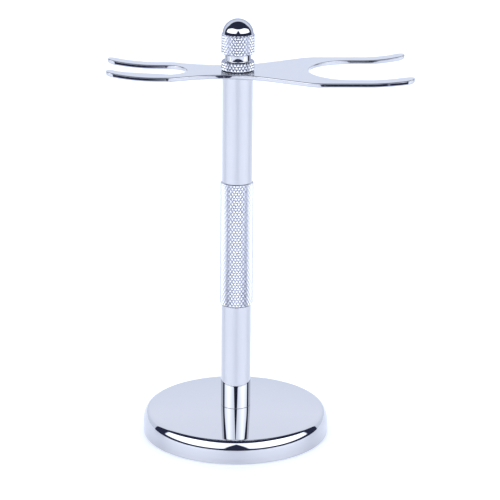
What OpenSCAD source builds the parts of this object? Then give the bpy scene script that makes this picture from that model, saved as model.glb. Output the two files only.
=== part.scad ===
// Razor and brush stand: a weighted round base, a two-part tube pole with a knurled
// grip, a double fork plate and a turned clamp knob on a threaded stud.
// The pole's axis is Z, the table is at z = 0, the razor fork points along -X and
// the brush fork along +X. All sizes are in millimetres.

/* [Base] */
// Outer diameter of the round base
base_d = 70; // [52:0.5:110]
// Height of the base at the pole's foot, above the table
base_h = 10.3; // [9.2:0.1:20]
// Width of the flat left around the pole's foot
base_flat = 1; // [0.5:0.1:3]
// Slope that the crowned top of the base reaches at its corner, in degrees
base_slope = 5.8; // [2:0.1:7]
// Radius of the corner between the base's top and its side
base_corner_r = 2.1; // [2:0.1:3]
// Slope at which the corner meets the curve of the side, in degrees
base_corner_turn = 57; // [45:1:65]
// Radius of the curve of the base's side
base_side_r = 7; // [5:0.1:8]
// Wall of the base cover
cover_wall = 1.2; // [0.8:0.1:1.8]
// Height that the foot pad holds the cover's rim off the table
rim_lift = 0.2; // [0.2:0.1:1]
// Thickness of the foot pad
pad_t = 1.5; // [1.1:0.1:2.2]
// Thickness of the adhesive film over the pad
film_t = 0.25; // [0.1:0.05:0.5]
// Gap from the weight, pad and film to the cover's wall
weight_gap = 0.5; // [0.2:0.1:1]

/* [Base fixings] */
// Diameter of the base bolt's head
head_d = 9.5; // [8:0.1:11]
// Height of the base bolt's head
head_h = 2.75; // [2:0.05:3.5]
// Width across the flats of the hex socket in the head
socket_af = 3; // [2:0.5:4]
// Depth of the hex socket
socket_depth = 1.6; // [1:0.1:1.8]
// Outer diameter of the flat washer
flat_washer_d = 10; // [9:0.5:14]
// Thickness of the flat washer
flat_washer_t = 1; // [0.5:0.1:1.2]
// Outer diameter of the split lock washer
lock_washer_d = 9.2; // [8.5:0.1:11]
// Thickness of the split lock washer
lock_washer_t = 1.2; // [0.8:0.1:1.4]
// Width of the split in the lock washer
lock_washer_split = 1; // [0.5:0.1:2]
// Length of bolt thread held in the pole
bolt_grip_len = 10.3; // [6:0.1:12]

/* [Pole] */
// Outer diameter of the two pole tubes
pole_d = 11.2; // [9.3:0.1:16]
// Wall of the pole tubes
tube_wall = 1.2; // [0.8:0.1:1.3]
// Length of each pole tube, one below the grip and one above it
tube_len = 40.3; // [30:0.1:80]
// Outer diameter of the knurled grip, over its crests
grip_d = 12.2; // [12.1:0.1:18]
// Length of the knurled grip between the two tubes
grip_len = 47.5; // [20:0.5:80]
// Chamfer at each end of the grip
grip_chamfer = 0.5; // [0.2:0.1:0.8]
// Length of the spigot that enters each tube
spigot_len = 10; // [5:0.5:12]
// Length of each threaded insert inside its tube
insert_len = 14; // [12.5:0.5:16]

/* [Thread] */
// Outer diameter of the stud and bolt threads
thread_d = 5; // [4:0.5:6]
// Rise of the clamp knob in one turn
thread_pitch = 0.8; // [0.5:0.05:1]
// Depth of the thread form
thread_depth = 0.49; // [0.3:0.01:0.6]
// Length of stud held in the upper insert
stud_grip_len = 12; // [8:0.5:12.5]
// Length of stud that stands above the fork plate
stud_reach = 11.2; // [9:0.1:11.4]

/* [Fork plate] */
// Thickness of the fork plate
plate_t = 1.6; // [1:0.1:2.5]
// Half width of the plate at its waist
waist_half = 8.25; // [7:0.05:10]
// Distance from the pole's axis to the waist, towards the razor fork
waist_offset = 5.5; // [0:0.5:8]
// Radius of the hollow curve on each side of the waist
waist_r = 34; // [20:1:45]
// Radius of the upward sweep at both ends
bend_r = 80; // [60:5:150]

/* [Razor fork] */
// Distance from the pole's axis to the tips of the razor fork
razor_reach = 47.4; // [42:0.1:60]
// Width of the razor slot
razor_slot_w = 14.6; // [10:0.1:16]
// Width of each razor arm
razor_arm_w = 5.6; // [4.5:0.1:8]
// Distance from the pole's axis to the closed end of the razor slot
razor_slot_start = 18.4; // [16:0.1:22]
// Radius of the razor fork's shoulders
razor_shoulder_r = 8; // [4:0.5:12]
// Slope of the plate's edge from the waist to the razor shoulders, in degrees
razor_slope = 20; // [15:0.5:25]
// Distance from the pole's axis to the start of the razor fork's upward sweep
razor_bend_start = 29; // [26:0.5:34]

/* [Brush fork] */
// Distance from the pole's axis to the tips of the brush fork
brush_reach = 62.4; // [58:0.1:75]
// Width of the brush slot
brush_slot_w = 31.2; // [26:0.1:34]
// Width of each brush arm
brush_arm_w = 5.85; // [4.5:0.05:8]
// Distance from the pole's axis to the closed end of the brush slot
brush_slot_start = 25.6; // [22:0.1:28]
// Radius of the brush fork's shoulders
brush_shoulder_r = 15; // [8:0.5:18]
// Slope of the plate's edge from the waist to the brush shoulders, in degrees
brush_slope = 29.5; // [26:0.5:33]
// Distance from the pole's axis to the start of the brush fork's upward sweep
brush_bend_start = 46; // [42:0.5:52]
// Distance from the pole's axis to the start of the arms' outward flare
flare_start = 50; // [46:0.5:54]
// Radius of the outward flare of the brush arms
flare_r = 62; // [45:1:90]

/* [Clamp knob] */
// Outer diameter of the knob, over its knurled crests
knob_d = 12; // [11:0.1:16]
// Height of the lower knurled band
knob_skirt_h = 3.3; // [2.2:0.1:5]
// Height of the polished groove between the bands
groove_h = 2.7; // [2:0.1:4]
// Depth of the polished groove
groove_depth = 1.3; // [0.8:0.05:1.5]
// Radius in the inner corners of the polished groove
groove_corner_r = 0.4; // [0.2:0.05:0.8]
// Height of the upper knurled band
knob_band_h = 7.3; // [6.5:0.1:12]
// Chamfer on the edges of the knurled bands
knob_chamfer = 0.3; // [0.15:0.05:0.6]
// Width of the ledge around the foot of the dome
dome_ledge = 0.35; // [0.3:0.05:0.9]
// Height of the polished dome
dome_h = 5.3; // [3:0.1:6]
// Thickness of the friction washer under the knob
washer_t = 1.2; // [0.8:0.1:1.6]
// Depth of the washer's seat in the knob
washer_seat = 1; // [0.6:0.1:1.4]
// Wall of the knob around the washer's seat
washer_wall = 1.35; // [1:0.05:1.8]

/* [Fits] */
// Radial clearance of an insert or spigot bonded in a tube
bond_gap = 0.05; // [0.02:0.01:0.1]
// Radial clearance of a thread in its tapped hole
thread_gap = 0.05; // [0.02:0.01:0.1]
// Radial clearance of the bolt through the cover, weight and washers
bolt_gap = 0.25; // [0.15:0.05:0.5]
// Radial clearance of the stud in the fork plate and in the knob
swivel_gap = 0.1; // [0.05:0.01:0.1]
// Radial clearance of the friction washer around the stud
washer_gap = 0.15; // [0.1:0.01:0.3]
// Gap around and under the bolt's head in the weight
head_gap = 0.15; // [0.1:0.05:0.4]

/* [Hidden] */

// Facets of a true circle, and of the short arcs drawn as points
$fn = 96;
fine = 24;
coarse = 10;
// Length by which a cut runs past the face it opens
over = 1;

// Levels of the base
cover_inner_top = base_h - cover_wall;
film_z = pad_t;
weight_z = pad_t + film_t;
base_r = base_d / 2;
cover_inner_r = base_r - cover_wall;
weight_r = cover_inner_r - weight_gap;

// The cover's half section is a crown, a corner and a side that join without an edge
foot_r = pole_d / 2 + base_flat;
crown_end_r = base_r - base_side_r * (1 - sin(base_corner_turn))
    - base_corner_r * (sin(base_corner_turn) - sin(base_slope));
crown_r = (crown_end_r - foot_r) / sin(base_slope);
crown_centre = [foot_r, base_h - crown_r];
corner_centre = crown_centre + (crown_r - base_corner_r) * [sin(base_slope), cos(base_slope)];
side_centre = corner_centre
    - (base_side_r - base_corner_r) * [sin(base_corner_turn), cos(base_corner_turn)];
// The weight's top corner keeps clear of the inside of the crown
weight_corner = crown_centre
    + (crown_r - cover_wall - weight_gap) * [sin(base_slope), cos(base_slope)];

// Radii and lengths of the fixings
thread_r = thread_d / 2;
hole_r = thread_r + bolt_gap;
tap_r = thread_r + thread_gap;
counterbore_r = max(flat_washer_d, lock_washer_d, head_d) / 2 + head_gap * 2;
head_z = weight_z + head_gap;
lock_washer_z = head_z + head_h;
flat_washer_z = lock_washer_z + lock_washer_t;
web_z = flat_washer_z + flat_washer_t;
bolt_end_z = base_h + bolt_grip_len;

// Levels and radii of the pole
pole_r = pole_d / 2;
tube_inner_r = pole_r - tube_wall;
insert_r = tube_inner_r - bond_gap;
grip_r = grip_d / 2;
grip_z = base_h + tube_len;
upper_tube_z = grip_z + grip_len;
pole_top_z = upper_tube_z + tube_len;
plate_top_z = pole_top_z + plate_t;
stud_top_z = plate_top_z + stud_reach;

// Levels and radii of the knob
knob_r = knob_d / 2;
knob_z = plate_top_z + washer_t - washer_seat;
skirt_top_z = knob_z + knob_skirt_h;
band_z = skirt_top_z + groove_h;
band_top_z = band_z + knob_band_h;
neck_r = knob_r - groove_depth;
dome_r = knob_r - dome_ledge;
// The dome is the cap of a sphere through its rim and its top
dome_sphere_r = (pow(dome_r, 2) + pow(dome_h, 2)) / (2 * dome_h);
dome_centre_z = band_top_z + dome_h - dome_sphere_r;
seat_r = knob_r - washer_wall;
washer_r = seat_r - swivel_gap;
seat_top_z = plate_top_z + washer_t;
knob_bore_top_z = stud_top_z + over;

// Half widths of the two forks
razor_slot_r = razor_slot_w / 2;
brush_slot_r = brush_slot_w / 2;
razor_half = razor_slot_r + razor_arm_w;
brush_half = brush_slot_r + brush_arm_w;

// Points along an arc about c, from angle a0 to a1 in steps
function arc(c, r, a0, a1, steps) =
    [for (i = [0:steps]) let (a = a0 + (a1 - a0) * i / steps) c + r * [cos(a), sin(a)]];

// The same points in the other direction, and mirrored across the X axis
function reversed(points) = [for (i = [len(points) - 1:-1:0]) points[i]];
function mirrored(points) = reversed([for (p = points) [p.x, -p.y]]);

// Distance along X from the waist to a shoulder's centre: a hollow arc, a straight
// edge at the given slope and a shoulder arc join without a corner
function shoulder_run(half, r, slope) =
    let (bend = waist_r + r,
        straight = (half - waist_half - bend * (1 - cos(slope))) / sin(slope))
    bend * sin(slope) + straight * cos(slope);

// Angle turned by an arm of the brush fork along its flare, up to the tip's centre
flare_mid_r = flare_r + brush_arm_w / 2;
flare_angle = asin((brush_reach - brush_arm_w / 2 - flare_start) / flare_mid_r);
flare_centre = [flare_start, brush_half + flare_r];
brush_tip = flare_centre + flare_mid_r * [sin(flare_angle), -cos(flare_angle)];

// The plate's edge on the +Y side, from the razor slot's end to the brush slot's end
razor_edge = concat(
    arc([-razor_slot_start - razor_slot_r, 0], razor_slot_r, 0, 90, fine),
    arc([razor_arm_w / 2 - razor_reach, razor_slot_r + razor_arm_w / 2],
        razor_arm_w / 2, -90, -270, fine));
waist_edge = concat(
    arc([-waist_offset - shoulder_run(razor_half, razor_shoulder_r, razor_slope),
        razor_half - razor_shoulder_r], razor_shoulder_r, 90, 90 - razor_slope, coarse),
    arc([-waist_offset, waist_half + waist_r], waist_r,
        -90 - razor_slope, -90 + brush_slope, fine),
    arc([-waist_offset + shoulder_run(brush_half, brush_shoulder_r, brush_slope),
        brush_half - brush_shoulder_r], brush_shoulder_r, 90 + brush_slope, 90, coarse));
brush_edge = concat(
    arc(flare_centre, flare_r, -90, -90 + flare_angle, coarse),
    arc(brush_tip, brush_arm_w / 2, 90 + flare_angle, flare_angle - 90, fine),
    arc(flare_centre, flare_r + brush_arm_w, -90 + flare_angle, -90, coarse),
    arc([brush_slot_start + brush_slot_r, 0], brush_slot_r, 90, 180, fine));
half_edge = concat(razor_edge, waist_edge, brush_edge);

// A flat ring or, with no bore, a disc
module ring(r, bore_r, z, h) {
    translate([0, 0, z])
        difference() {
            cylinder(r = r, h = h);
            if (bore_r > 0)
                translate([0, 0, -over]) cylinder(r = bore_r, h = h + 2 * over);
        }
}

// Half section of the base's outside, moved inwards by inset
module base_section(inset, bottom) {
    polygon(concat([[0, bottom], [0, base_h - inset]],
        arc(crown_centre, crown_r - inset, 90, 90 - base_slope, coarse),
        arc(corner_centre, base_corner_r - inset, 90 - base_slope, 90 - base_corner_turn, coarse),
        arc(side_centre, base_side_r - inset, 90 - base_corner_turn, 0, fine),
        [[base_r - inset, bottom]]));
}

// Pressed cover of the base, open below, with the bolt's hole in its top
module base_cover() {
    color("Gainsboro")
        difference() {
            rotate_extrude()
                difference() {
                    base_section(0, rim_lift);
                    base_section(cover_wall, rim_lift - over);
                }
            translate([0, 0, cover_inner_top - over])
                cylinder(r = hole_r, h = cover_wall + 2 * over);
        }
}

// Cast weight that fills the cover, counterbored from below for the bolt
module base_weight() {
    color("DimGray")
        difference() {
            rotate_extrude()
                polygon([[0, weight_z], [weight_r, weight_z], [weight_r, side_centre.y],
                    weight_corner, [foot_r, cover_inner_top], [0, cover_inner_top]]);
            translate([0, 0, weight_z - over])
                cylinder(r = counterbore_r, h = web_z - weight_z + over);
            translate([0, 0, weight_z])
                cylinder(r = hole_r, h = cover_inner_top - weight_z + over);
        }
}

// Adhesive film between the weight and the foot pad
module pad_film() {
    color("OldLace") ring(weight_r, 0, film_z, film_t);
}

// Soft pad that the stand rests on
module foot_pad() {
    color("Black") ring(weight_r, 0, 0, pad_t);
}

// Low button-head bolt with a hex socket, driven from below
module base_bolt() {
    socket_r = socket_af / 2 / cos(30);
    color("Silver")
        difference() {
            union() {
                translate([0, 0, head_z]) cylinder(r = head_d / 2, h = head_h);
                translate([0, 0, head_z]) cylinder(r = thread_r, h = bolt_end_z - head_z);
            }
            translate([0, 0, head_z - over])
                cylinder(r = socket_r, h = socket_depth + over, $fn = 6);
        }
}

// Split lock washer against the bolt's head
module lock_washer() {
    color("DarkGray")
        difference() {
            ring(lock_washer_d / 2, hole_r, lock_washer_z, lock_washer_t);
            translate([0, -lock_washer_split / 2, lock_washer_z - over])
                cube([lock_washer_d, lock_washer_split, lock_washer_t + 2 * over]);
        }
}

// Flat washer against the weight's web
module flat_washer() {
    color("Silver") ring(flat_washer_d / 2, hole_r, flat_washer_z, flat_washer_t);
}

// Tapped insert bonded into the foot of the lower tube
module lower_insert() {
    color("Goldenrod") ring(insert_r, tap_r, base_h, insert_len);
}

// Polished tube, the same piece below and above the grip
module pole_tube(z) {
    color("Lavender") ring(pole_r, tube_inner_r, z, tube_len);
}

module lower_tube() {
    pole_tube(base_h);
}

module upper_tube() {
    pole_tube(upper_tube_z);
}

// Turned grip with a spigot at each end that enters the tubes
module knurled_grip() {
    color("LightSteelBlue")
        rotate_extrude()
            polygon([[0, grip_z - spigot_len], [insert_r, grip_z - spigot_len],
                [insert_r, grip_z], [grip_r - grip_chamfer, grip_z],
                [grip_r, grip_z + grip_chamfer], [grip_r, upper_tube_z - grip_chamfer],
                [grip_r - grip_chamfer, upper_tube_z], [insert_r, upper_tube_z],
                [insert_r, upper_tube_z + spigot_len], [0, upper_tube_z + spigot_len]]);
}

// Tapped insert bonded into the top of the upper tube
module upper_insert() {
    color("Goldenrod") ring(insert_r, tap_r, pole_top_z - insert_len, insert_len);
}

// Stud fixed in the upper insert; its thread is drawn as rings of the same form
module top_stud() {
    root_r = thread_r - thread_depth;
    thread_z = plate_top_z + thread_pitch;
    turns = floor((stud_top_z - thread_z) / thread_pitch);
    crests = [for (i = [0:turns - 1]) let (z = thread_z + i * thread_pitch)
        each [[thread_r, z], [root_r, z + thread_pitch / 2]]];
    end_z = thread_z + turns * thread_pitch;
    color("Silver")
        rotate_extrude()
            polygon(concat([[0, pole_top_z - stud_grip_len],
                [thread_r, pole_top_z - stud_grip_len]],
                crests,
                [[thread_r, end_z], [root_r, stud_top_z], [0, stud_top_z]]));
}

// Flat outline of the double fork
module fork_outline() {
    polygon(concat(half_edge, mirrored(half_edge)));
}

// Side section of the plate: flat in the middle, swept up towards both tips
module fork_side() {
    razor_turn = asin((razor_reach + over - razor_bend_start) / bend_r);
    brush_turn = asin((brush_reach + over - brush_bend_start) / bend_r);
    centre_z = plate_top_z + bend_r;
    upper = concat(
        arc([-razor_bend_start, centre_z], bend_r, -90 - razor_turn, -90, coarse),
        arc([brush_bend_start, centre_z], bend_r, -90, -90 + brush_turn, coarse));
    lower = concat(
        arc([brush_bend_start, centre_z], bend_r + plate_t, -90 + brush_turn, -90, coarse),
        arc([-razor_bend_start, centre_z], bend_r + plate_t, -90, -90 - razor_turn, coarse));
    polygon(concat(upper, lower));
}

// Double fork plate with the stud's hole
module fork_plate() {
    reach = brush_reach + razor_reach;
    color("GhostWhite")
        difference() {
            intersection() {
                translate([0, 0, pole_top_z - over]) linear_extrude(height = reach) fork_outline();
                rotate([90, 0, 0])
                    translate([0, 0, -reach / 2]) linear_extrude(height = reach) fork_side();
            }
            translate([0, 0, pole_top_z - over])
                cylinder(r = thread_r + swivel_gap, h = plate_t + 2 * over);
        }
}

// Thin washer that rides in the knob's seat and bears on the plate
module friction_washer() {
    color("WhiteSmoke") ring(washer_r, thread_r + washer_gap, plate_top_z, washer_t);
}

// Section of the groove between the knurled bands, round in its inner corners
module groove_section() {
    r = groove_corner_r;
    translate([neck_r + r, skirt_top_z]) square([groove_depth, groove_h]);
    translate([neck_r, skirt_top_z + r]) square([groove_depth, groove_h - 2 * r]);
    for (z = [skirt_top_z + r, band_z - r]) translate([neck_r + r, z]) circle(r = r);
}

// Turned knob: two knurled bands, a polished groove and a domed top
module clamp_knob() {
    c = knob_chamfer;
    color("Silver")
        difference() {
            rotate_extrude() {
                difference() {
                    polygon([[0, knob_z], [knob_r - c, knob_z], [knob_r, knob_z + c],
                        [knob_r, band_top_z - c], [knob_r - c, band_top_z],
                        [0, band_top_z]]);
                    groove_section();
                }
                intersection() {
                    translate([0, dome_centre_z]) circle(r = dome_sphere_r);
                    translate([0, band_top_z]) square([knob_r, dome_h + over]);
                }
            }
            translate([0, 0, knob_z - over]) cylinder(r = seat_r, h = seat_top_z - knob_z + over);
            translate([0, 0, knob_z])
                cylinder(r = thread_r + swivel_gap, h = knob_bore_top_z - knob_z);
        }
}

base_cover();
base_weight();
pad_film();
foot_pad();
base_bolt();
lock_washer();
flat_washer();
lower_insert();
lower_tube();
knurled_grip();
upper_tube();
upper_insert();
top_stud();
fork_plate();
friction_washer();
clamp_knob();
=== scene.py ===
# %% [markdown]
# # A razor and brush stand in mirror chrome
# The stand is a weighted round base, a slim pole with a knurled grip, a double fork plate
# and a knurled, domed clamp knob. Nearly every piece is turned on a lathe, so most of this
# lesson is one idea: draw half of a piece's outline as a line, and let Geometry Nodes spin
# it about the pole's axis and cut a pattern of grooves into it on the way.

# %% Load the fixed frame
import math

import bmesh
import bpy
from mathutils import Matrix, Vector


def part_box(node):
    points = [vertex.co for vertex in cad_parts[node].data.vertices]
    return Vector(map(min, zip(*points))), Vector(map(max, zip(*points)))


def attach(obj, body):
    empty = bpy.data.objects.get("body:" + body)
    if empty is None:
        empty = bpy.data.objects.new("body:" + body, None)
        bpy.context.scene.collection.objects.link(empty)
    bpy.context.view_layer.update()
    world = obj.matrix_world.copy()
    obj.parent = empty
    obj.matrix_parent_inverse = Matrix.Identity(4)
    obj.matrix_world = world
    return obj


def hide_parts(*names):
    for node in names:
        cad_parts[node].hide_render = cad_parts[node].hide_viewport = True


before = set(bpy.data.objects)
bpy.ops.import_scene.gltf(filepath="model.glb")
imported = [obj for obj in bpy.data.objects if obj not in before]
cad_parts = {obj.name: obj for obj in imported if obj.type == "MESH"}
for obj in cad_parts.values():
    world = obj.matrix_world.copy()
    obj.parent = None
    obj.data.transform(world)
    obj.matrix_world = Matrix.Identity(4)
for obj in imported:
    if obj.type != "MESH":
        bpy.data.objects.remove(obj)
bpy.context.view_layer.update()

MM = 0.001

# %% [markdown]
# ## Two small helpers for node trees
# A node tree is easier to read as a formula than as a list of links. Wire stands for one
# output of a node, and the arithmetic signs on it add Math nodes. Tree adds any other node
# from its type, its settings and the values or wires that go into its sockets.


# %% Wires that can be added and multiplied
class Wire:
    """One output socket; arithmetic on it adds Math nodes to its tree."""

    def __init__(self, tree, socket):
        self.tree = tree
        self.socket = socket

    def math(self, operation, *others):
        inputs = dict(enumerate((self, *others)))
        return self.tree.add("ShaderNodeMath", {"operation": operation}, inputs)

    def __add__(self, other):
        return self.math("ADD", other)

    def __radd__(self, other):
        return self.math("ADD", other)

    def __sub__(self, other):
        return self.math("SUBTRACT", other)

    def __rsub__(self, other):
        return (self * -1.0).math("ADD", other)

    def __mul__(self, other):
        return self.math("MULTIPLY", other)

    def __rmul__(self, other):
        return self.math("MULTIPLY", other)

    def __truediv__(self, other):
        return self.math("DIVIDE", other)

    def at_least(self, other):
        return self.math("MAXIMUM", other)

    def at_most(self, other):
        return self.math("MINIMUM", other)


# %% One way to add every other node
class Tree:
    """A node tree whose nodes are added by type, settings and socket values."""

    def __init__(self, nodes, links):
        self.nodes = nodes
        self.links = links

    def node(self, kind, settings=None, inputs=None):
        made = self.nodes.new(kind)
        for name, value in (settings or {}).items():
            setattr(made, name, value)
        for key, value in (inputs or {}).items():
            self.plug(made.inputs[key], value)
        return made

    def add(self, kind, settings=None, inputs=None, output=0):
        return Wire(self, self.node(kind, settings, inputs).outputs[output])

    def plug(self, socket, value):
        if isinstance(value, Wire):
            self.links.new(value.socket, socket)
        else:
            socket.default_value = value


# %% [markdown]
# ## One tree that turns a profile and cuts grooves
# A lathe holds a bar and a tool follows the profile. Here the profile is a row of points in
# the XZ plane, stored as a mesh. The tree lays a flat grid, one column for each step round
# the axis and one row for each profile point, and moves every grid point to its place.
#
# A knurl is two families of V grooves that cross, and a screw thread is one family with a
# single start, so the same formula cuts both. Each profile point carries its `rise`, the
# height counted in grooves, and a groove family repeats along `turn * starts - rise`.
# Ping-pong makes a V of that number, and the deeper of the two families wins, which leaves
# the diamond points of a real knurl. The points are cut down to the crest circle, so a
# chamfer in the profile still shows where the knurl runs out.
#
# The tree also leaves two marks on the mesh for the material to read: `grooved` tells the
# knurl from the polished parts of the same piece, and the other mark grows where two grooves
# cross, as the mask for the painted shade that the material puts in the knurl's pits.


# %% Build the turning tree
TURNING_INPUTS = [
    ("Profile", "NodeSocketGeometry"),
    ("Segments", "NodeSocketInt"),
    ("Starts", "NodeSocketInt"),
    ("Depth", "NodeSocketFloat"),
    ("Crossed", "NodeSocketFloat"),
    ("Crest", "NodeSocketFloat"),
    ("Crest Flat", "NodeSocketFloat"),
    ("Sharp Angle", "NodeSocketFloat"),
    ("Material", "NodeSocketMaterial"),
]
WELD = 0.0005 * MM
MOSTLY_GROOVED = 0.4


def build_turning_tree():
    group = bpy.data.node_groups.new("turned_piece", "GeometryNodeTree")
    for name, kind in TURNING_INPUTS:
        group.interface.new_socket(name, in_out="INPUT", socket_type=kind)
    group.interface.new_socket("Geometry", in_out="OUTPUT", socket_type="NodeSocketGeometry")
    tree = Tree(group.nodes, group.links)
    entry = group.nodes.new("NodeGroupInput")
    given = {name: Wire(tree, entry.outputs[name]) for name, _ in TURNING_INPUTS}

    rows = tree.add("GeometryNodeAttributeDomainSize", {"component": "MESH"},
                    {"Geometry": given["Profile"]})
    grid = tree.add("GeometryNodeMeshGrid", None, {
        "Size X": 1.0, "Size Y": 1.0,
        "Vertices X": given["Segments"] + 1, "Vertices Y": rows})

    place = tree.node("ShaderNodeSeparateXYZ", None,
                      {"Vector": tree.add("GeometryNodeInputPosition")})
    turn = Wire(tree, place.outputs["X"]) + 0.5
    row = ((Wire(tree, place.outputs["Y"]) + 0.5) * (rows - 1)).math("ROUND")
    index = tree.add("FunctionNodeFloatToInt", {"rounding_mode": "ROUND"}, {"Float": row})

    def stored(name):
        return tree.add("GeometryNodeInputNamedAttribute", {"data_type": "FLOAT"}, {"Name": name})

    def from_profile(kind, value):
        made = tree.node("GeometryNodeSampleIndex", {"data_type": kind, "domain": "POINT"})
        tree.plug(made.inputs["Geometry"], given["Profile"])
        tree.plug(made.inputs["Value"], value)
        tree.plug(made.inputs["Index"], index)
        return Wire(tree, made.outputs["Value"])

    point = from_profile("FLOAT_VECTOR", tree.add("GeometryNodeInputPosition"))
    parts = tree.node("ShaderNodeSeparateXYZ", None, {"Vector": point})
    radius, height = Wire(tree, parts.outputs["X"]), Wire(tree, parts.outputs["Z"])
    cut_here = from_profile("FLOAT", stored("grooved"))
    rise = from_profile("FLOAT", stored("rise"))

    rising = turn * given["Starts"] - rise
    falling = turn * given["Starts"] + rise
    family = rising.math("PINGPONG", 0.5) * 2.0
    other_family = falling.math("PINGPONG", 0.5) * 2.0 * given["Crossed"]
    groove = family.at_least(other_family)
    groove = ((groove - given["Crest Flat"]) / (1.0 - given["Crest Flat"])).at_least(0.0)
    crest_cut = (radius - (given["Crest"] - given["Depth"] * groove)).at_least(0.0)
    final_radius = radius - crest_cut * cut_here

    angle = turn * (2.0 * math.pi)
    moved = tree.add("ShaderNodeCombineXYZ", None, {
        "X": final_radius * angle.math("COSINE"),
        "Y": final_radius * angle.math("SINE"), "Z": height})
    # The mark at the groove crossings is the mask for the painted shade in the knurl's pits.
    marked = grid
    for name, value in {"pit_shade": family * other_family * cut_here, "grooved": cut_here,
                        "rise": rise,
                        "leaning": turn * given["Starts"] * 2.0}.items():
        marked = tree.add("GeometryNodeStoreNamedAttribute",
                          {"data_type": "FLOAT", "domain": "POINT"},
                          {"Geometry": marked, "Name": name, "Value": value})
    # A cell is cut along the diagonal that follows its groove.
    quarter = stored("leaning").math("FLOOR") + (stored("rise") * 2.0).math("FLOOR")
    odd = quarter.math("PINGPONG", 1.0).math("GREATER_THAN", 0.5)
    cut = tree.add("GeometryNodeTriangulate", {"quad_method": "FIXED"}, {
        "Mesh": marked, "Selection": odd * cut_here.math("GREATER_THAN", MOSTLY_GROOVED)})
    cut = tree.add("GeometryNodeTriangulate", {"quad_method": "FIXED_ALTERNATE"}, {
        "Mesh": cut, "Selection": (1.0 - odd) * cut_here.math("GREATER_THAN", MOSTLY_GROOVED)})
    turned = tree.add("GeometryNodeSetPosition", None, {"Geometry": cut, "Position": moved})
    cut = tree.add("GeometryNodeMergeByDistance", None, {"Geometry": turned, "Distance": WELD})
    smooth = tree.add("GeometryNodeSetShadeSmooth", {"domain": "FACE"}, {
        "Geometry": cut, "Shade Smooth": True})
    sharp = tree.add("GeometryNodeInputMeshEdgeAngle").math("GREATER_THAN", given["Sharp Angle"])
    smooth = tree.add("GeometryNodeSetShadeSmooth", {"domain": "EDGE"}, {
        "Geometry": smooth, "Selection": sharp, "Shade Smooth": False})
    real = tree.add("GeometryNodeRealizeInstances", None, {"Geometry": smooth})
    done = tree.add("GeometryNodeSetMaterial", None, {
        "Geometry": real, "Material": given["Material"]})
    out = group.nodes.new("NodeGroupOutput")
    tree.plug(out.inputs["Geometry"], done)
    return group


turning_tree = build_turning_tree()
print("turning tree:", len(turning_tree.nodes), "nodes")

# %% [markdown]
# ## Profiles
# A profile is a list of (radius, height) points. Going up the outside gives faces that look
# outwards. Real turned edges are never perfectly sharp, so a corner gets a small fillet, and
# a support point on each side of it keeps the flats flat: a mirror shows the slightest bow.


# %% Round the corners of a profile
SUPPORT = 0.04 * MM


def fillet(before, corner, after, size, steps):
    """Points of an arc that replaces a corner, with a support point on each side."""
    a, b, c = (Vector(p) for p in (before, corner, after))
    to_a, to_c = (a - b).normalized(), (c - b).normalized()
    half = to_a.angle(to_c) / 2
    reach = size / math.tan(half)
    centre = b + (to_a + to_c).normalized() * size / math.sin(half)
    start, end = b + to_a * reach, b + to_c * reach
    from_angle = math.atan2(*(start - centre).yx)
    sweep = math.atan2(*(end - centre).yx) - from_angle
    sweep = (sweep + math.pi) % (2 * math.pi) - math.pi
    arc = [centre + size * Vector((math.cos(from_angle + sweep * i / steps),
                                   math.sin(from_angle + sweep * i / steps)))
           for i in range(steps + 1)]
    return [start + to_a * SUPPORT, *arc, end + to_c * SUPPORT]


def rounded_loop(corners):
    """A closed profile of (radius, height, fillet, steps); a zero fillet keeps the corner."""
    points = []
    for i, (r, z, size, steps) in enumerate(corners):
        if size == 0:
            points.append(Vector((r, z)))
            continue
        before, after = corners[i - 1], corners[(i + 1) % len(corners)]
        points += fillet(before[:2], (r, z), after[:2], size, steps)
    points.append(points[0].copy())
    return points


# %% Turn a profile into a finished piece
GROOVE_DEFAULTS = {"Starts": 1, "Depth": 0.0, "Crossed": 0.0, "Crest": 1.0,
                   "Crest Flat": 0.0, "Sharp Angle": math.radians(28)}


def as_plain_mesh(obj, name):
    """The evaluated shape as a mesh with no modifiers."""
    graph = bpy.context.evaluated_depsgraph_get()
    mesh = bpy.data.meshes.new_from_object(obj.evaluated_get(graph))
    mesh.name = name
    old = obj.data
    obj.modifiers.clear()
    obj.data = mesh
    bpy.data.meshes.remove(old)
    return obj


def turn_piece(name, points, material, segments, **grooves):
    """Spins a profile; a point with a third number, its rise, takes the groove pattern."""
    mesh = bpy.data.meshes.new(name + "_profile")
    mesh.from_pydata([(p[0], 0.0, p[1]) for p in points],
                     [(i, i + 1) for i in range(len(points) - 1)], [])
    for mark in ("grooved", "rise"):
        mesh.attributes.new(mark, "FLOAT", "POINT")
    for i, p in enumerate(points):
        mesh.attributes["grooved"].data[i].value = float(len(p) > 2)
        mesh.attributes["rise"].data[i].value = p[2] if len(p) > 2 else 0.0
    obj = bpy.data.objects.new(name, mesh)
    bpy.context.scene.collection.objects.link(obj)
    modifier = obj.modifiers.new("turning", "NODES")
    modifier.node_group = turning_tree
    values = {**GROOVE_DEFAULTS, **grooves, "Segments": segments, "Material": material}
    for item in turning_tree.interface.items_tree:
        if item.in_out == "INPUT" and item.name in values:
            modifier[item.identifier] = values[item.name]
    as_plain_mesh(obj, name)
    print(f"{name}: {len(obj.data.vertices)} points, {len(obj.data.polygons)} faces")
    return obj
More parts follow.
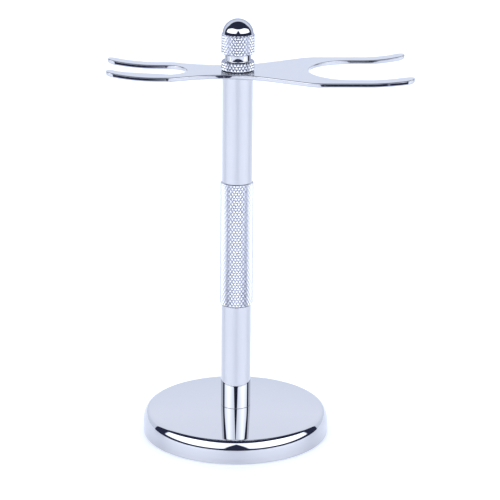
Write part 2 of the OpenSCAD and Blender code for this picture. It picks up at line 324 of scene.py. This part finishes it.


# %% [markdown]
# ## Materials
# The whole stand is chrome plate over turned steel, so the finish has to come from small
# differences: the mirror of the base, the rougher plate on the knurl, and painted shade in the
# pits where two grooves cross. One function makes both finishes, so the
# polished dome and groove of the knob match the pole.


# %% Material helpers
def new_material(name):
    material = bpy.data.materials.new(name)
    material.use_nodes = True
    tree = Tree(material.node_tree.nodes, material.node_tree.links)
    shader = material.node_tree.nodes["Principled BSDF"]
    material.node_tree.nodes.remove(material.node_tree.nodes["Material Output"])
    out = tree.node("ShaderNodeOutputMaterial", None, {"Surface": Wire(tree, shader.outputs[0])})
    out.location = (400, 0)
    return material, tree, shader


def noise(tree, scale, detail):
    """Noise with a scale in cells to the metre, read from the piece's own coordinates."""
    place = tree.add("ShaderNodeTexCoord", output="Object")
    return tree.add("ShaderNodeTexNoise", None, {
        "Vector": place, "Scale": scale, "Detail": detail})


def blend_colours(tree, factor, first, second):
    """A colour mix; each colour is three numbers or a wire."""
    made = tree.node("ShaderNodeMix", {"data_type": "RGBA"})
    for name, value in (("Factor", factor), ("A", first), ("B", second)):
        tree.plug(made.inputs[name], (*value, 1.0) if isinstance(value, tuple) else value)
    return Wire(tree, made.outputs["Result"])


def bump(tree, height, distance):
    return tree.add("ShaderNodeBump", None, {"Height": height, "Distance": distance},
                    output="Normal")


# %% Chrome plate
CHROME = (0.555, 0.562, 0.572)
CHROME_DULL = (0.49, 0.50, 0.525)
KNURL_LIGHT, KNURL_GRAZING = (0.60, 0.615, 0.655), (0.52, 0.54, 0.62)
# The dark colour below is painted shade for the knurl's pits.
PIT_SHADE_PAINT = (0.10, 0.10, 0.14)
MIRROR_ROUGH, KNURL_ROUGH = 0.006, 0.27
WIPE_GRAIN, WIPE_ROUGH, WIPE_TINT = 120.0, 0.012, 0.25
FINE_GRAIN, FINE_ROUGH = 900.0, 0.004
# How narrow and how strong the painted shade in the knurl's pits is.
PIT_SHADE_NARROW, PIT_SHADE_STRENGTH = 3.0, 0.9
RIPPLE_GRAIN, RIPPLE = 60.0, 0.002 * MM


def chrome_material(name, knurled=False):
    """Mirror plate with faint wipe marks; a knurl makes it rougher, with painted shade in its
    pits.
    """
    material, tree, shader = new_material(name)
    wipes = noise(tree, WIPE_GRAIN, 4.0)
    fine = noise(tree, FINE_GRAIN, 2.0)
    shader.inputs["Metallic"].default_value = 1.0
    roughness = MIRROR_ROUGH + wipes * WIPE_ROUGH + fine * FINE_ROUGH
    colour = blend_colours(tree, wipes * WIPE_TINT, CHROME, CHROME_DULL)
    if knurled:
        cut = tree.add("ShaderNodeAttribute", {"attribute_name": "grooved"}, output="Fac")
        pit_shade = tree.add("ShaderNodeAttribute", {"attribute_name": "pit_shade"}, output="Fac")
        shader.inputs["Specular Tint"].default_value = (*KNURL_GRAZING, 1.0)
        roughness = roughness + cut * KNURL_ROUGH
        colour = blend_colours(tree, cut, colour, KNURL_LIGHT)
        # Painted shade: the pits where two grooves cross are darkened in the colour itself.
        shade = pit_shade.math("POWER", PIT_SHADE_NARROW) * PIT_SHADE_STRENGTH
        colour = blend_colours(tree, shade, colour, PIT_SHADE_PAINT)
    tree.plug(shader.inputs["Roughness"], roughness)
    tree.plug(shader.inputs["Base Color"], colour)
    tree.plug(shader.inputs["Normal"], bump(tree, noise(tree, RIPPLE_GRAIN, 1.0), RIPPLE))
    return material


mirror_chrome = chrome_material("mirror_chrome")
knurled_chrome = chrome_material("knurled_chrome", knurled=True)
print("chrome materials made")

# %% [markdown]
# ## The base
# The cover is one pressed shell, so its profile is a thin closed loop: up the outside, across
# the top to the bolt's hole, and back inside. Its top isn't flat but slightly crowned, and its
# edge is two arcs that meet without a corner. Both hardly show in the outline, and both show
# at once in a mirror, so they are worked out as arcs that share their tangents.

# %% Base cover
COVER_WALL = 1.2 * MM
FOOT_R = 6.6 * MM
CROWN_SLOPE, CORNER_TURN = math.radians(5.8), math.radians(57)
CORNER_R, SIDE_R = 2.1 * MM, 7.0 * MM
HEM_R = 0.3 * MM
BOLT_HOLE_R = 2.75 * MM
cover_low, cover_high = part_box("base_cover")
cover_r, cover_z0, cover_z1 = cover_high.x, cover_low.z, cover_high.z


def arc_rows(centre, radius, start, end, steps):
    """Points on an arc of a profile, with angles in radians from straight outwards."""
    angles = [start + (end - start) * i / steps for i in range(steps + 1)]
    return [Vector((centre[0] + radius * math.cos(a), centre[1] + radius * math.sin(a)))
            for a in angles]


def cover_curve(inset):
    """The cover's side, corner and crown from the wall to the pole, moved inwards."""
    up = math.pi / 2
    sines = math.sin(CORNER_TURN), math.sin(CROWN_SLOPE)
    crown_end = cover_r - SIDE_R * (1 - sines[0]) - CORNER_R * (sines[0] - sines[1])
    crown_r = (crown_end - FOOT_R) / sines[1]
    crown = Vector((FOOT_R, cover_z1 - crown_r))
    corner = crown + (crown_r - CORNER_R) * Vector((sines[1], math.cos(CROWN_SLOPE)))
    side = corner - (SIDE_R - CORNER_R) * Vector((sines[0], math.cos(CORNER_TURN)))
    return [*arc_rows(side, SIDE_R - inset, 0, up - CORNER_TURN, 16),
            *arc_rows(corner, CORNER_R - inset, up - CORNER_TURN, up - CROWN_SLOPE, 24)[1:],
            *arc_rows(crown, crown_r - inset, up - CROWN_SLOPE, up, 32)[1:]]


cover_profile = [
    *arc_rows((cover_r - HEM_R, cover_z0 + HEM_R), HEM_R, -math.pi / 2, 0, 5),
    Vector((cover_r, cover_z0 + HEM_R + SUPPORT)),
    *cover_curve(0),
    Vector((BOLT_HOLE_R, cover_z1)), Vector((BOLT_HOLE_R, cover_z1 - COVER_WALL)),
    *reversed(cover_curve(COVER_WALL)),
    Vector((cover_r - COVER_WALL, cover_z0))]
cover_profile.append(cover_profile[0].copy())
base_shell = turn_piece("base_shell", cover_profile, mirror_chrome, segments=320)
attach(base_shell, "stand")
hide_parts("base_cover")

# %% [markdown]
# ## The pole
# Two equal tubes with a knurled grip between them. The grip is the first grooved piece: its
# rows are an eighth of the knurl's height apart, so the grooves fall on the grid's corners.

# %% Tubes
TUBE_WALL, TUBE_EDGE = 1.2 * MM, 0.12 * MM


def tube_piece(name, node):
    low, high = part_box(node)
    outer, inner = high.x, high.x - TUBE_WALL
    profile = rounded_loop([
        (inner, low.z, 0, 0), (outer, low.z, TUBE_EDGE, 4), (outer, high.z, TUBE_EDGE, 4),
        (inner, high.z, 0, 0)])
    piece = turn_piece(name, profile, mirror_chrome, segments=192)
    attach(piece, "stand")
    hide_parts(node)
    return piece


tube_piece("tube_below_grip", "lower_tube")
tube_piece("tube_above_grip", "upper_tube")


# %% Knurl pattern shared by the grip and the knob
KNURL_STARTS = 28
KNURL_HEIGHT = 1.93 * MM
KNURL_DEPTH = 0.35 * MM
KNURL_CELLS = 8
KNURL_SEGMENTS = KNURL_STARTS * KNURL_CELLS
CHAMFER_STEPS = 4


def knurl_band(crest, z0, z1, chamfer):
    """A knurled band with a chamfer at each end, going up."""
    low, high = z0 + chamfer, z1 - chamfer
    rows = round((high - low) / (KNURL_HEIGHT / KNURL_CELLS))
    row_h = (high - low) / rows
    cuts = [chamfer * i / CHAMFER_STEPS for i in range(CHAMFER_STEPS + 1)]
    places = [(crest - chamfer + cut, z0 + cut) for cut in cuts[:-1]]
    places += [(crest, low + row_h * i) for i in range(rows + 1)]
    places += [(crest - cut, high + cut) for cut in cuts[1:]]
    return [Vector((r, z, (z - low) / row_h / KNURL_CELLS)) for r, z in places]


print("knurl:", KNURL_SEGMENTS, "columns round the axis")

# %% Knurled grip
SPIGOT_R = 4.35 * MM
SPIGOT_LEN = 10.0 * MM
GRIP_CHAMFER = 0.5 * MM
grip_low, grip_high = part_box("knurled_grip")
grip_r = grip_high.x
grip_z0, grip_z1 = grip_low.z + SPIGOT_LEN, grip_high.z - SPIGOT_LEN
grip_profile = [
    Vector((0, grip_low.z)), Vector((SPIGOT_R, grip_low.z)), Vector((SPIGOT_R, grip_z0)),
    *knurl_band(grip_r, grip_z0, grip_z1, GRIP_CHAMFER),
    Vector((SPIGOT_R, grip_z1)), Vector((SPIGOT_R, grip_high.z)), Vector((0, grip_high.z))]
knurl = {"Starts": KNURL_STARTS, "Depth": KNURL_DEPTH, "Crossed": 1.0,
         "Crest Flat": 2 / KNURL_CELLS}
grip = turn_piece("grip", grip_profile, knurled_chrome, segments=KNURL_SEGMENTS,
                  Crest=grip_r, **knurl)
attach(grip, "stand")
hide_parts("knurled_grip")

# %% [markdown]
# ## The clamp knob
# One turned piece: a short knurled band, a polished groove with square sides, a taller
# knurled band and a dome. Underneath are the washer's seat and the blind hole for the stud.
# The dome stands on a short lip that leans in by a few degrees. An upright lip would mirror
# the white table, and a leaning one mirrors the darkness under the soft boxes.


# %% Clamp knob
SKIRT_H, GROOVE_H, GROOVE_DEEP, GROOVE_CORNER_R = 3.3 * MM, 2.7 * MM, 1.3 * MM, 0.4 * MM
BAND_H, KNOB_CHAMFER = 7.3 * MM, 0.3 * MM
LEDGE, DOME_LIP, LIP_LEAN, DOME_H = 0.35 * MM, 0.95 * MM, math.tan(math.radians(8)), 5.3 * MM
SEAT_R, SEAT_DEEP, STUD_BORE_R, BORE_DEEP = 4.65 * MM, 1.0 * MM, 2.6 * MM, 12.0 * MM
knob_low, knob_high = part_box("clamp_knob")
knob_r, knob_z = knob_high.x, knob_low.z
skirt_top, band_z = knob_z + SKIRT_H, knob_z + SKIRT_H + GROOVE_H
band_top = band_z + BAND_H
corner_x = knob_r - GROOVE_DEEP + GROOVE_CORNER_R
corner_low, corner_high = skirt_top + GROOVE_CORNER_R, band_z - GROOVE_CORNER_R
dome_r, lip_top = knob_r - LEDGE, band_top + DOME_LIP
cap_r, cap_h = dome_r - DOME_LIP * LIP_LEAN, DOME_H - DOME_LIP
dome_sphere = (cap_r ** 2 + cap_h ** 2) / (2 * cap_h)
dome_mid = band_top + DOME_H - dome_sphere
dome_start = math.asin((lip_top - dome_mid) / dome_sphere)
seat_top = knob_z + SEAT_DEEP
bore_top = seat_top + BORE_DEEP - SEAT_DEEP
knob_profile = [
    Vector((0, bore_top)), Vector((STUD_BORE_R, bore_top)), Vector((STUD_BORE_R, seat_top)),
    Vector((SEAT_R, seat_top)), Vector((SEAT_R, knob_z)),
    *knurl_band(knob_r, knob_z, skirt_top, KNOB_CHAMFER),
    Vector((corner_x + SUPPORT, skirt_top)),
    *arc_rows((corner_x, corner_low), GROOVE_CORNER_R, -math.pi / 2, -math.pi, 10),
    *arc_rows((corner_x, corner_high), GROOVE_CORNER_R, math.pi, math.pi / 2, 10),
    Vector((corner_x + SUPPORT, band_z)),
    *knurl_band(knob_r, band_z, band_top, KNOB_CHAMFER),
    Vector((dome_r + SUPPORT, band_top)), Vector((dome_r, band_top)),
    Vector((cap_r + SUPPORT * LIP_LEAN, lip_top - SUPPORT)),
    *arc_rows((0, dome_mid), dome_sphere, dome_start, math.pi / 2, 32)]
knob = turn_piece("knob", knob_profile, knurled_chrome, segments=KNURL_SEGMENTS,
                  Crest=knob_r, **knurl)
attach(knob, "knob")
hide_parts("clamp_knob")

# %% [markdown]
# ## The fork plate
# The plate is stamped from sheet, polished, and swept up a little at both ends. Its edge is
# a chain of arcs and straights that meet without corners, so a small rounding can follow it
# all the way round: each point of the outline carries a short curved section from the top
# face to the bottom face. Normals are given by the same formula, because a mirror shows
# every averaged normal as a dent.

# %% Sizes of the plate's outline
WAIST_HALF, WAIST_OFFSET, WAIST_R, BEND_R = 8.25 * MM, 5.5 * MM, 34.0 * MM, 80.0 * MM
RAZOR_SLOT_R, RAZOR_ARM, RAZOR_SLOT_START = 7.3 * MM, 5.6 * MM, 18.4 * MM
RAZOR_SHOULDER_R, RAZOR_SLOPE, RAZOR_BEND = 8.0 * MM, math.radians(20), 29.0 * MM
BRUSH_SLOT_R, BRUSH_ARM, BRUSH_SLOT_START = 15.6 * MM, 5.85 * MM, 25.6 * MM
BRUSH_SHOULDER_R, BRUSH_SLOPE, BRUSH_BEND = 15.0 * MM, math.radians(29.5), 46.0 * MM
FLARE_START, FLARE_R = 50.0 * MM, 62.0 * MM
STUD_HOLE_R = 2.6 * MM
EDGE_ROUND = 0.45 * MM
EDGE_STEPS = 8
OUTLINE_STEP = 0.7 * MM
plate_low, plate_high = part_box("fork_plate")
razor_reach, brush_reach = -plate_low.x, plate_high.x
plate_top, plate_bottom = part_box("friction_washer")[0].z, plate_low.z
plate_t = plate_top - plate_bottom


# %% Outline of the double fork
def arc_points(centre, radius, start, end):
    """Points of an arc, closer than OUTLINE_STEP, with angles in radians."""
    steps = max(6, math.ceil(radius * abs(end - start) / OUTLINE_STEP))
    angles = [start + (end - start) * i / steps for i in range(steps + 1)]
    return [Vector((centre[0] + radius * math.cos(a), centre[1] + radius * math.sin(a)))
            for a in angles]


def shoulder_run(half, radius, slope):
    """Distance along X from the waist to a shoulder's centre."""
    bend = WAIST_R + radius
    straight = (half - WAIST_HALF - bend * (1 - math.cos(slope))) / math.sin(slope)
    return bend * math.sin(slope) + straight * math.cos(slope)


def half_outline():
    """The edge on the +Y side, from the razor slot's end round to the brush slot's end."""
    up, right = math.pi / 2, 0.0
    razor_half, brush_half = RAZOR_SLOT_R + RAZOR_ARM, BRUSH_SLOT_R + BRUSH_ARM
    mid_r = FLARE_R + BRUSH_ARM / 2
    flare = math.asin((brush_reach - BRUSH_ARM / 2 - FLARE_START) / mid_r)
    flare_mid = (FLARE_START, brush_half + FLARE_R)
    tip = (FLARE_START + mid_r * math.sin(flare),
           brush_half + FLARE_R - mid_r * math.cos(flare))
    razor_x = -WAIST_OFFSET - shoulder_run(razor_half, RAZOR_SHOULDER_R, RAZOR_SLOPE)
    brush_x = -WAIST_OFFSET + shoulder_run(brush_half, BRUSH_SHOULDER_R, BRUSH_SLOPE)
    return [
        *arc_points((-RAZOR_SLOT_START - RAZOR_SLOT_R, 0), RAZOR_SLOT_R, right, up),
        *arc_points((RAZOR_ARM / 2 - razor_reach, RAZOR_SLOT_R + RAZOR_ARM / 2),
                    RAZOR_ARM / 2, -up, -3 * up),
        *arc_points((razor_x, razor_half - RAZOR_SHOULDER_R), RAZOR_SHOULDER_R,
                    up, up - RAZOR_SLOPE),
        *arc_points((-WAIST_OFFSET, WAIST_HALF + WAIST_R), WAIST_R,
                    -up - RAZOR_SLOPE, -up + BRUSH_SLOPE),
        *arc_points((brush_x, brush_half - BRUSH_SHOULDER_R), BRUSH_SHOULDER_R,
                    up + BRUSH_SLOPE, up),
        *arc_points(flare_mid, FLARE_R, -up, -up + flare),
        *arc_points(tip, BRUSH_ARM / 2, up + flare, flare - up),
        *arc_points(flare_mid, FLARE_R + BRUSH_ARM, -up + flare, -up),
        *arc_points((BRUSH_SLOT_START + BRUSH_SLOT_R, 0), BRUSH_SLOT_R, up, 2 * up)]


def even_steps(points):
    """The same closed line with long straights divided into short steps."""
    result = []
    for a, b in zip(points, points[1:] + points[:1]):
        if (b - a).length < WELD:
            continue
        count = max(1, math.ceil((b - a).length / OUTLINE_STEP))
        result += [a.lerp(b, i / count) for i in range(count)]
    return result


upper_half = half_outline()
lower_half = [Vector((p.x, -p.y)) for p in reversed(upper_half)]
fork_outline = even_steps(upper_half + lower_half)
hole_outline = arc_points((0, 0), STUD_HOLE_R, 0, 2 * math.pi)[:-1]
print("fork outline:", len(fork_outline), "points")


# %% Sweep the rounded edge round an outline
def swept_height(x, depth):
    """Height of the plate at x, depth below its top face, and its slope there."""
    past = max(0.0, -RAZOR_BEND - x, x - BRUSH_BEND)
    radius = BEND_R + depth
    slope = math.asin(past / radius)
    return plate_top + BEND_R - radius * math.cos(slope), math.copysign(slope, x)


def edge_ring(bm, outline, inset, depth, tilt, up):
    """One ring of points round an outline, with the normal that each should have."""
    ring = []
    for i, p in enumerate(outline):
        along = outline[(i + 1) % len(outline)] - outline[i - 1]
        side = Vector((-along.y, along.x)).normalized()
        place = p - side * inset
        z, slope = swept_height(place.x, depth)
        face = Vector((-math.sin(slope), 0, math.cos(slope))) * up
        normal = face * math.cos(tilt) + side.to_3d() * math.sin(tilt)
        ring.append((bm.verts.new((place.x, place.y, z)), normal.normalized()))
    return ring


def plate_rings(bm, outline):
    """Rings from the top face over the rounded edge to the bottom face."""
    rings = []
    for up in (1, -1):
        turns = range(EDGE_STEPS + 1) if up == 1 else range(EDGE_STEPS, -1, -1)
        for i in turns:
            tilt = math.pi / 2 * i / EDGE_STEPS
            drop = EDGE_ROUND * (1 - math.cos(tilt))
            rings.append(edge_ring(bm, outline, EDGE_ROUND * (1 - math.sin(tilt)),
                                   drop if up == 1 else plate_t - drop, tilt, up))
    return rings


def build_fork_plate(material):
    bm = bmesh.new()
    # The outline runs clockwise, so its left side points out of the plate; the
    # hole runs the other way for the same reason.
    loops = [plate_rings(bm, fork_outline), plate_rings(bm, hole_outline)]
    for rings in loops:
        for first, second in zip(rings, rings[1:]):
            count = len(first)
            for i in range(count):
                j = (i + 1) % count
                bm.faces.new((first[i][0], first[j][0], second[j][0], second[i][0]))
    for level in (0, -1):
        edges = []
        for rings in loops:
            ring = [v for v, _ in rings[level]]
            edges += [bm.edges.get((a, b)) for a, b in zip(ring, ring[1:] + ring[:1])]
        bmesh.ops.triangle_fill(bm, edges=edges, use_beauty=True, use_dissolve=False)
    bm.verts.index_update()
    normals = [Vector((0, 0, 1))] * len(bm.verts)
    for rings in loops:
        for ring in rings:
            for v, normal in ring:
                normals[v.index] = normal
    bmesh.ops.recalc_face_normals(bm, faces=bm.faces)
    mesh = bpy.data.meshes.new("double_fork")
    bm.to_mesh(mesh)
    bm.free()
    mesh.polygons.foreach_set("use_smooth", [True] * len(mesh.polygons))
    mesh.normals_split_custom_set_from_vertices(normals)
    mesh.materials.append(material)
    obj = bpy.data.objects.new("double_fork", mesh)
    bpy.context.scene.collection.objects.link(obj)
    return obj


double_fork = build_fork_plate(mirror_chrome)
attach(double_fork, "holder")
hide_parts("fork_plate")
print("double_fork:", len(double_fork.data.polygons), "faces")

# %% [markdown]
# ## Materials of the hidden and plain pieces
# These CAD pieces already have the right shape, so each only gets its finish: cast iron
# with a sandy skin, foam rubber with open pores, bright zinc, turned brass and nylon.


# %% Plain materials
ROUGH_SPREAD = 0.15


def surface(name, colours, roughness, metallic=0.0, grain=400.0, depth=0.02 * MM):
    """A material whose colour, roughness and bump all follow one noise."""
    material, tree, shader = new_material(name)
    pattern = noise(tree, grain, 4.0)
    shader.inputs["Metallic"].default_value = metallic
    tree.plug(shader.inputs["Base Color"], blend_colours(tree, pattern, *colours))
    tree.plug(shader.inputs["Roughness"], roughness + (pattern - 0.5) * ROUGH_SPREAD)
    tree.plug(shader.inputs["Normal"], bump(tree, pattern, depth))
    return material


zinc_steel = surface("zinc_steel", ((0.60, 0.61, 0.64), (0.72, 0.73, 0.75)), 0.28, 1.0, 600.0,
                     0.004 * MM)
PLAIN_FINISHES = {
    "base_weight": surface("cast_iron", ((0.05, 0.05, 0.055), (0.11, 0.11, 0.115)), 0.7, 0.6,
                           900.0, 0.08 * MM),
    "foot_pad": surface("foam_rubber", ((0.012, 0.012, 0.013), (0.035, 0.035, 0.037)), 0.85,
                        0.0, 1500.0, 0.10 * MM),
    "pad_film": surface("adhesive_film", ((0.62, 0.58, 0.45), (0.72, 0.68, 0.55)), 0.45),
    "base_bolt": zinc_steel, "lock_washer": zinc_steel, "flat_washer": zinc_steel,
    "lower_insert": surface("turned_brass", ((0.62, 0.46, 0.18), (0.72, 0.55, 0.24)), 0.25,
                            1.0, 500.0, 0.003 * MM),
    "friction_washer": surface("natural_nylon", ((0.74, 0.74, 0.71), (0.82, 0.82, 0.79)), 0.42,
                               0.0, 700.0, 0.006 * MM),
}
PLAIN_FINISHES["upper_insert"] = PLAIN_FINISHES["lower_insert"]
for node_name, finish in PLAIN_FINISHES.items():
    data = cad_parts[node_name].data
    data.materials.clear()
    data.materials.append(finish)
print("plain finishes:", len(PLAIN_FINISHES))

# %% [markdown]
# ## The stud
# It shows when the knob is unscrewed. The same turning tree cuts its thread: one start and
# one family of grooves make a true helix.

# %% Threaded stud
THREAD_PITCH, THREAD_DEPTH, THREAD_CREST = 0.8 * MM, 0.49 * MM, 0.12
THREAD_CELLS, THREAD_SEGMENTS = 12, 48
STUD_CHAMFER = 0.4 * MM
stud_low, stud_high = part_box("top_stud")
stud_r = stud_high.x
thread_z, thread_end = plate_bottom, stud_high.z - STUD_CHAMFER
row_h = THREAD_PITCH / THREAD_CELLS
thread_rows = round((thread_end - thread_z) / row_h)
stud_profile = [
    Vector((0, stud_low.z)), Vector((stud_r, stud_low.z)),
    *[Vector((stud_r, thread_z + row_h * i, i / THREAD_CELLS)) for i in range(thread_rows + 1)],
    Vector((stud_r - STUD_CHAMFER, stud_high.z)), Vector((0, stud_high.z))]
print("stud rows:", len(stud_profile))
stud = turn_piece("stud", stud_profile, zinc_steel, segments=THREAD_SEGMENTS,
                  Starts=1, Depth=THREAD_DEPTH, Crest=stud_r, **{"Crest Flat": THREAD_CREST})
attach(stud, "stand")
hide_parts("top_stud")

# %% [markdown]
# ## The studio
# Chrome has no colour of its own: it shows the room. The room here is a white table, a
# white sheet behind it, two wide soft boxes on the camera's side with a narrow gap between
# them, and darkness everywhere else. The table is a plane with a little light of its own,
# because the darkness would otherwise leave it grey. The rest is drawn by direction in the
# world shader, so it has no edges that a camera could meet, and the camera sees plain white.

# %% Table
TABLE_HALF_WIDTH, TABLE_FRONT, TABLE_BACK = 0.85, -0.594, 0.85
TABLE_COLOUR = (0.86, 0.88, 0.93)
TABLE_GLOSS, TABLE_ROUGH, TABLE_GLOW = 0.5, 0.45, 0.29
TABLE_GRAIN, TABLE_FADE, TABLE_ROUGH_SPREAD = 40.0, 0.99, 0.02


def build_table():
    material, tree, shader = new_material("white_table")
    grain = noise(tree, TABLE_GRAIN, 2.0)
    faded = tuple(TABLE_FADE * c for c in TABLE_COLOUR)
    tree.plug(shader.inputs["Base Color"], blend_colours(tree, grain, faded, TABLE_COLOUR))
    tree.plug(shader.inputs["Roughness"], TABLE_ROUGH + TABLE_ROUGH_SPREAD * grain)
    shader.inputs["Specular IOR Level"].default_value = TABLE_GLOSS
    shader.inputs["Emission Color"].default_value = (*TABLE_COLOUR, 1.0)
    shader.inputs["Emission Strength"].default_value = TABLE_GLOW
    w, front, back = TABLE_HALF_WIDTH, TABLE_FRONT, TABLE_BACK
    mesh = bpy.data.meshes.new("table")
    mesh.from_pydata([(-w, front, 0), (w, front, 0), (w, back, 0), (-w, back, 0)],
                     [], [(0, 1, 2, 3)])
    mesh.materials.append(material)
    obj = bpy.data.objects.new("table", mesh)
    bpy.context.scene.collection.objects.link(obj)


build_table()
print("table from", TABLE_FRONT, "to", TABLE_BACK, "m")

# %% World
SHEET_TOP = math.tan(math.radians(61))
SHEET_SIDE = math.tan(math.radians(63))
SHEET_BLUR = 0.03
SHEET_LOW_LIGHT, SHEET_LIGHT = (0.95, 1.03, 1.23), (1.15, 1.21, 1.40)
SHEET_RISE, SHEET_RISE_SOFT = 17.0, 14.0
DARK_LIGHT = (0.036, 0.042, 0.088)
BOX_CORE_LIGHT = (3.15, 3.25, 3.5)
BOX_EDGE_LIGHT = (1.9, 2.0, 2.3)
BOX_CORE, BOX_FADE = 57.0, 42.0
BOX_BOTTOM, BOX_TOP, BOX_OUTER = 9.0, 46.0, 97.0
BOX_BLUR, BOX_TOP_BLUR = 3.0, 1.5
SHOULDER_START, SHOULDER_RUN, SHOULDER_DROP = 45.0, 55.0, 24.0
GAP_HALF, GAP_TOP, GAP_FOOT, GAP_FLARE = 16.0, 38.0, 11.0, 2.5
TABLE_BOOST = 2.0


def soft_step(value, edge, softness):
    """0 below the edge and 1 above it, with a short ramp."""
    ramp = (value - edge) / softness + 0.5
    ramp.socket.node.use_clamp = True
    return ramp


def build_world():
    world = bpy.data.worlds.new("studio")
    bpy.context.scene.world = world
    world.use_nodes = True
    world.node_tree.nodes.clear()
    tree = Tree(world.node_tree.nodes, world.node_tree.links)
    look = tree.node("ShaderNodeSeparateXYZ", None, {
        "Vector": tree.add("ShaderNodeTexCoord", output="Generated")})
    x, y, z = (Wire(tree, look.outputs[axis]) for axis in "XYZ")
    ahead = y.at_least(1e-4)
    sheet = (soft_step(ahead * SHEET_TOP - z, 0.0, SHEET_BLUR)
             * soft_step(ahead * SHEET_SIDE - x.math("ABSOLUTE"), 0.0, SHEET_BLUR))
    around = x.math("ABSOLUTE").math("ARCTAN2", y * -1.0) * math.degrees(1)
    above = z.math("ARCSINE") * math.degrees(1)
    past = (around - SHOULDER_START).at_least(0.0) / SHOULDER_RUN
    shoulder = past.math("POWER", 2.0) * SHOULDER_DROP
    gap = (GAP_HALF * (1.0 - (above / GAP_TOP).at_least(0.0).math("POWER", 2.0))
           + (GAP_FOOT - above).at_least(0.0) * GAP_FLARE)
    boxes = (soft_step(above, BOX_BOTTOM, BOX_BLUR)
             * soft_step(BOX_TOP - shoulder - above, 0.0, BOX_TOP_BLUR)
             * soft_step(around - gap, 0.0, BOX_BLUR)
             * soft_step(BOX_OUTER - around, 0.0, BOX_BLUR))
    core = 1.0 - ((around - BOX_CORE) / BOX_FADE).math("ABSOLUTE").at_most(1.0)
    box_light = blend_colours(tree, core, BOX_EDGE_LIGHT, BOX_CORE_LIGHT)
    sheet_light = blend_colours(tree, soft_step(above, SHEET_RISE, SHEET_RISE_SOFT),
                                SHEET_LOW_LIGHT, SHEET_LIGHT)
    light = blend_colours(tree, sheet, DARK_LIGHT, sheet_light)
    lit = blend_colours(tree, boxes, light, box_light)
    ray = tree.node("ShaderNodeLightPath")
    seen = blend_colours(tree, Wire(tree, ray.outputs["Is Camera Ray"]), lit, (1.0, 1.0, 1.0))
    boost = 1.0 + (TABLE_BOOST - 1.0) * Wire(tree, ray.outputs["Is Diffuse Ray"])
    background = tree.add("ShaderNodeBackground", None, {"Color": seen, "Strength": boost})
    tree.node("ShaderNodeOutputWorld", None, {"Surface": background})
    print("world:", len(world.node_tree.nodes), "nodes")


build_world()
bpy.context.scene.view_settings.view_transform = "Standard"
bpy.context.scene.view_settings.look = "None"

# %% [markdown]
# ## The camera
# A long lens from a little above the plate, almost square to it.

# %% Camera
CAMERA_DISTANCE, CAMERA_HEIGHT, CAMERA_ASIDE = 0.7761, 0.3197, 0.0039
CAMERA_TURN, CAMERA_YAW = math.radians(1.78), math.radians(0.08)
CAMERA_PITCH, CAMERA_ROLL = math.radians(17.73), math.radians(0.50)
SENSOR, LENS = 36.0, 157.95


def build_camera():
    data = bpy.data.cameras.new("camera")
    data.sensor_width, data.lens = SENSOR, LENS
    camera = bpy.data.objects.new("camera", data)
    turn = Matrix.Rotation(-CAMERA_TURN, 3, "Z")
    heading = CAMERA_TURN + CAMERA_YAW
    forward = Vector((math.sin(heading) * math.cos(CAMERA_PITCH),
                      math.cos(heading) * math.cos(CAMERA_PITCH), -math.sin(CAMERA_PITCH)))
    right = forward.cross(Vector((0, 0, 1))).normalized()
    up = right.cross(forward)
    c, s = math.cos(CAMERA_ROLL), math.sin(CAMERA_ROLL)
    right, up = c * right + s * up, c * up - s * right
    axes = Matrix((right, up, -forward)).transposed()
    camera.matrix_world = (Matrix.Translation(
        turn @ Vector((CAMERA_ASIDE, -CAMERA_DISTANCE, CAMERA_HEIGHT))) @ axes.to_4x4())
    bpy.context.scene.collection.objects.link(camera)
    bpy.context.scene.camera = camera
    print("camera at", [round(v, 4) for v in camera.matrix_world.translation])


build_camera()
